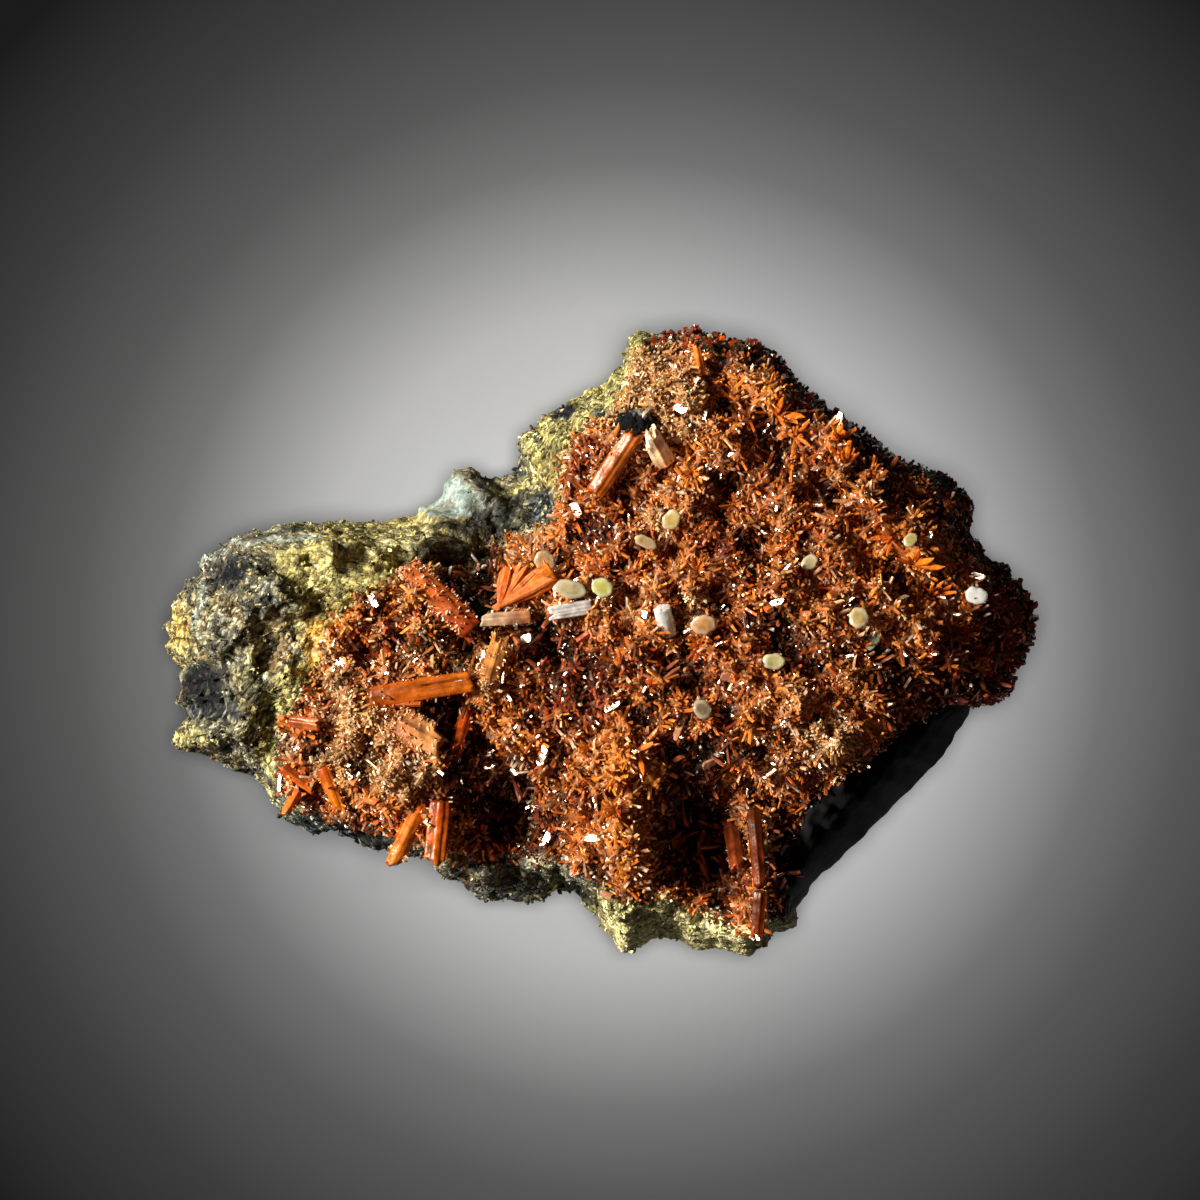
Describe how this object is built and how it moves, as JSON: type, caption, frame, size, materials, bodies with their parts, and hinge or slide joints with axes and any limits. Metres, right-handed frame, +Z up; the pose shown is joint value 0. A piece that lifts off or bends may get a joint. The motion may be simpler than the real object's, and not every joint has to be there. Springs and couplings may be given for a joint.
{
  "type": "crocoite crystal druse on gossan matrix",
  "caption": "Rough lump of ochre and black gossan lying on its flat back, its upper face covered by a druse of small orange crocoite prisms with larger blades and pale grains.",
  "frame": {"origin": "under the middle of the specimen, on the flat back that it lies on", "axes": "+Z up out of the crystal face, +X along the specimen's length towards its wide end, +Y towards its crest"},
  "size_m": [0.0797, 0.0573, 0.028],
  "materials": {
    "gossan": "rough porous limonite and manganese oxide, dark grey with yellow ochre",
    "crocoite": "sparkling druse of small orange to red-brown prisms",
    "crocoite_crystal": "glossy translucent orange-red crystal faces with an adamantine lustre",
    "pale_crystal": "translucent pale yellow, smooth and glassy",
    "black_oxide": "dull to satin black"
  },
  "bodies": {
    "root": {"gossan_rock": "gossan", "crocoite_druse": "crocoite", "black_nodule": "black_oxide", "blade_slotted": "crocoite_crystal", "blade_leaning": "crocoite_crystal", "blade_pink_stub": "crocoite_crystal", "blade_at_pit": "crocoite_crystal", "blade_column": "crocoite_crystal", "blade_rim_left": "crocoite_crystal", "blade_rim_right": "crocoite_crystal", "blade_west_upper": "crocoite_crystal", "blade_west_lower": "crocoite_crystal", "blade_south_west": "crocoite_crystal", "blade_west_block": "crocoite_crystal", "blade_arrowhead": "crocoite_crystal", "blade_pale": "crocoite_crystal", "blade_silver": "crocoite_crystal", "blade_north": "crocoite_crystal", "blade_north_stub": "crocoite_crystal", "blade_summit": "crocoite_crystal", "blade_vug_upper": "crocoite_crystal", "blade_vug_lower": "crocoite_crystal", "blade_vug_inner": "crocoite_crystal", "pale_prism": "pale_crystal", "pale_grain_1": "pale_crystal", "pale_grain_2": "pale_crystal", "pale_grain_3": "pale_crystal", "pale_grain_4": "pale_crystal", "pale_grain_5": "pale_crystal", "pale_grain_6": "pale_crystal", "pale_grain_7": "pale_crystal", "pale_grain_8": "pale_crystal", "pale_grain_9": "pale_crystal", "pale_grain_10": "pale_crystal", "pale_grain_11": "pale_crystal", "pale_grain_12": "pale_crystal", "pale_grain_13": "pale_crystal"}
  },
  "joints": []
}
